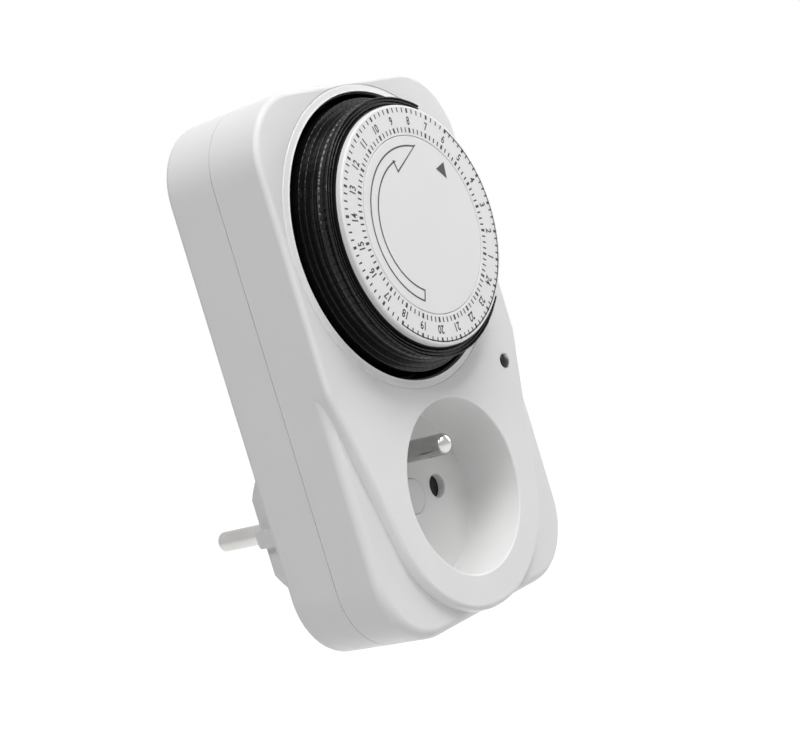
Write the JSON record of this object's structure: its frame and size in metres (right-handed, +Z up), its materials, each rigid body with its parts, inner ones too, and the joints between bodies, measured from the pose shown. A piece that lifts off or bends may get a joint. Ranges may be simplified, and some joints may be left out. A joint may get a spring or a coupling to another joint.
{
  "type": "plug in timer switch",
  "caption": "Plug-in mains timer switch: round dial with push-in tappets above a socket with earth pin, plug with round pins behind.",
  "frame": {"origin": "centre of the plug's engagement face, midway between its two pins", "axes": "+Y out of the plug face along the pins (the dial and the socket face -Y), +Z up towards the dial, +X to the right seen from the front"},
  "size_m": [0.0722, 0.0766, 0.12],
  "materials": {
    "housing_white": "smooth, slightly glossy",
    "dial_white": "satin, printed",
    "liner_black": "satin",
    "wheel_black": "satin",
    "tappet_black": "moulded, glossy",
    "steel": "bright",
    "zinc_steel": "zinc plated sheet",
    "gear_plastic": "natural",
    "brass": "stamped",
    "copper": "wound copper wire",
    "ferrite": "pressed",
    "switch_black": "satin",
    "button_red": "smooth",
    "lever_white": "natural",
    "shutter_grey": "satin",
    "nickel": "nickel plated",
    "lens_dark": "clear and dark",
    "board_green": "lacquered",
    "insulation_blue": "PVC sleeve"
  },
  "bodies": {
    "housing": {"front_cover": "housing_white", "rear_cover": "housing_white", "centre_disc": "dial_white", "floor_cap": "dial_white", "dial_well": "liner_black", "dial_arbor": "steel", "gear_axles": "steel", "lever_pin": "steel", "screws": "steel", "shutter_spring": "steel", "gear_plate": "zinc_steel", "motor_case": "zinc_steel", "contact_carrier": "gear_plastic", "shutter_guide": "gear_plastic", "contact_live": "brass", "contact_neutral": "brass", "earth_strap": "brass", "earth_sleeve": "brass", "motor_coil": "copper", "motor_rotor": "ferrite", "switch_body": "switch_black", "plug_pin_live": "nickel", "plug_pin_neutral": "nickel", "earth_pin": "nickel", "indicator_lens": "lens_dark", "indicator_board": "board_green", "wiring": "insulation_blue"},
    "programme_dial": {"programme_wheel": "wheel_black", "hour_ring": "dial_white"},
    "gear_three": {"drive_gear_3": "gear_plastic"},
    "gear_two": {"drive_gear_2": "gear_plastic"},
    "pinion": {"motor_pinion": "brass"},
    "slider": {"override_slider": "switch_black"},
    "lever": {"switch_lever": "lever_white"},
    "button": {"switch_button": "button_red"},
    "shutter_plate": {"shutter": "shutter_grey"},
    "tappets_00": {"tappets_hour_00": "tappet_black"},
    "tappets_01": {"tappets_hour_01": "tappet_black"},
    "tappets_02": {"tappets_hour_02": "tappet_black"},
    "tappets_03": {"tappets_hour_03": "tappet_black"},
    "tappets_04": {"tappets_hour_04": "tappet_black"},
    "tappets_05": {"tappets_hour_05": "tappet_black"},
    "tappets_06": {"tappets_hour_06": "tappet_black"},
    "tappets_07": {"tappets_hour_07": "tappet_black"},
    "tappets_08": {"tappets_hour_08": "tappet_black"},
    "tappets_09": {"tappets_hour_09": "tappet_black"},
    "tappets_10": {"tappets_hour_10": "tappet_black"},
    "tappets_11": {"tappets_hour_11": "tappet_black"},
    "tappets_12": {"tappets_hour_12": "tappet_black"},
    "tappets_13": {"tappets_hour_13": "tappet_black"},
    "tappets_14": {"tappets_hour_14": "tappet_black"},
    "tappets_15": {"tappets_hour_15": "tappet_black"},
    "tappets_16": {"tappets_hour_16": "tappet_black"},
    "tappets_17": {"tappets_hour_17": "tappet_black"},
    "tappets_18": {"tappets_hour_18": "tappet_black"},
    "tappets_19": {"tappets_hour_19": "tappet_black"},
    "tappets_20": {"tappets_hour_20": "tappet_black"},
    "tappets_21": {"tappets_hour_21": "tappet_black"},
    "tappets_22": {"tappets_hour_22": "tappet_black"},
    "tappets_23": {"tappets_hour_23": "tappet_black"}
  },
  "joints": [
    {"name": "programme_wheel_spin", "type": "hinge", "parent": "housing", "child": "programme_dial", "pos_m": [0, -0.04, 0.0572], "axis": [0, 1, 0], "continuous": true},
    {"name": "gear_three_spin", "type": "hinge", "parent": "housing", "child": "gear_three", "pos_m": [-0.01973, -0.034, 0.05002], "axis": [0, 1, 0], "continuous": true},
    {"name": "gear_two_spin", "type": "hinge", "parent": "housing", "child": "gear_two", "pos_m": [-0.00656, -0.034, 0.0572], "axis": [0, 1, 0], "continuous": true},
    {"name": "motor_pinion_spin", "type": "hinge", "parent": "housing", "child": "pinion", "pos_m": [-0.0135, -0.033, 0.0705], "axis": [0, 1, 0], "continuous": true},
    {"name": "override_slide", "type": "slide", "parent": "housing", "child": "slider", "axis": [0, 0, 1], "range_m": [-0.004, 0]},
    {"name": "switch_lever_swing", "type": "hinge", "parent": "housing", "child": "lever", "pos_m": [0.02172, -0.0336, 0.05802], "axis": [1, 0, 0], "range_deg": [0, 3.61]},
    {"name": "switch_button_slide", "type": "slide", "parent": "housing", "child": "button", "axis": [0, 1, 0], "range_m": [-0.0009, 0]},
    {"name": "shutter_slide", "type": "slide", "parent": "housing", "child": "shutter_plate", "axis": [0, 0, 1], "range_m": [-0.0058, 0], "stiffness_N_per_m": 60, "springref_m": 0.004, "deforming": ["shutter_spring"]},
    {"name": "tappets_00_press", "type": "slide", "parent": "programme_dial", "child": "tappets_00", "axis": [0, 1, 0], "range_m": [-0.0025, 0]},
    {"name": "tappets_01_press", "type": "slide", "parent": "programme_dial", "child": "tappets_01", "axis": [0, 1, 0], "range_m": [-0.0025, 0]},
    {"name": "tappets_02_press", "type": "slide", "parent": "programme_dial", "child": "tappets_02", "axis": [0, 1, 0], "range_m": [-0.0025, 0]},
    {"name": "tappets_03_press", "type": "slide", "parent": "programme_dial", "child": "tappets_03", "axis": [0, 1, 0], "range_m": [-0.0025, 0]},
    {"name": "tappets_04_press", "type": "slide", "parent": "programme_dial", "child": "tappets_04", "axis": [0, 1, 0], "range_m": [-0.0025, 0]},
    {"name": "tappets_05_press", "type": "slide", "parent": "programme_dial", "child": "tappets_05", "axis": [0, 1, 0], "range_m": [-0.0025, 0]},
    {"name": "tappets_06_press", "type": "slide", "parent": "programme_dial", "child": "tappets_06", "axis": [0, 1, 0], "range_m": [-0.0025, 0]},
    {"name": "tappets_07_press", "type": "slide", "parent": "programme_dial", "child": "tappets_07", "axis": [0, 1, 0], "range_m": [0, 0.0025]},
    {"name": "tappets_08_press", "type": "slide", "parent": "programme_dial", "child": "tappets_08", "axis": [0, 1, 0], "range_m": [0, 0.0025]},
    {"name": "tappets_09_press", "type": "slide", "parent": "programme_dial", "child": "tappets_09", "axis": [0, 1, 0], "range_m": [0, 0.0025]},
    {"name": "tappets_10_press", "type": "slide", "parent": "programme_dial", "child": "tappets_10", "axis": [0, 1, 0], "range_m": [0, 0.0025]},
    {"name": "tappets_11_press", "type": "slide", "parent": "programme_dial", "child": "tappets_11", "axis": [0, 1, 0], "range_m": [0, 0.0025]},
    {"name": "tappets_12_press", "type": "slide", "parent": "programme_dial", "child": "tappets_12", "axis": [0, 1, 0], "range_m": [0, 0.0025]},
    {"name": "tappets_13_press", "type": "slide", "parent": "programme_dial", "child": "tappets_13", "axis": [0, 1, 0], "range_m": [0, 0.0025]},
    {"name": "tappets_14_press", "type": "slide", "parent": "programme_dial", "child": "tappets_14", "axis": [0, 1, 0], "range_m": [0, 0.0025]},
    {"name": "tappets_15_press", "type": "slide", "parent": "programme_dial", "child": "tappets_15", "axis": [0, 1, 0], "range_m": [0, 0.0025]},
    {"name": "tappets_16_press", "type": "slide", "parent": "programme_dial", "child": "tappets_16", "axis": [0, 1, 0], "range_m": [0, 0.0025]},
    {"name": "tappets_17_press", "type": "slide", "parent": "programme_dial", "child": "tappets_17", "axis": [0, 1, 0], "range_m": [0, 0.0025]},
    {"name": "tappets_18_press", "type": "slide", "parent": "programme_dial", "child": "tappets_18", "axis": [0, 1, 0], "range_m": [0, 0.0025]},
    {"name": "tappets_19_press", "type": "slide", "parent": "programme_dial", "child": "tappets_19", "axis": [0, 1, 0], "range_m": [0, 0.0025]},
    {"name": "tappets_20_press", "type": "slide", "parent": "programme_dial", "child": "tappets_20", "axis": [0, 1, 0], "range_m": [0, 0.0025]},
    {"name": "tappets_21_press", "type": "slide", "parent": "programme_dial", "child": "tappets_21", "axis": [0, 1, 0], "range_m": [0, 0.0025]},
    {"name": "tappets_22_press", "type": "slide", "parent": "programme_dial", "child": "tappets_22", "axis": [0, 1, 0], "range_m": [0, 0.0025]},
    {"name": "tappets_23_press", "type": "slide", "parent": "programme_dial", "child": "tappets_23", "axis": [0, 1, 0], "range_m": [0, 0.0025]}
  ],
  "couplings": [
    {"joint": "gear_three_spin", "follows": "programme_wheel_spin", "ratio": -6},
    {"joint": "gear_two_spin", "follows": "programme_wheel_spin", "ratio": 24},
    {"joint": "motor_pinion_spin", "follows": "programme_wheel_spin", "ratio": -96},
    {"joint": "switch_lever_swing", "follows": "override_slide", "rad_per_m": -15.708},
    {"joint": "switch_button_slide", "follows": "override_slide", "ratio": 0.2202}
  ]
}
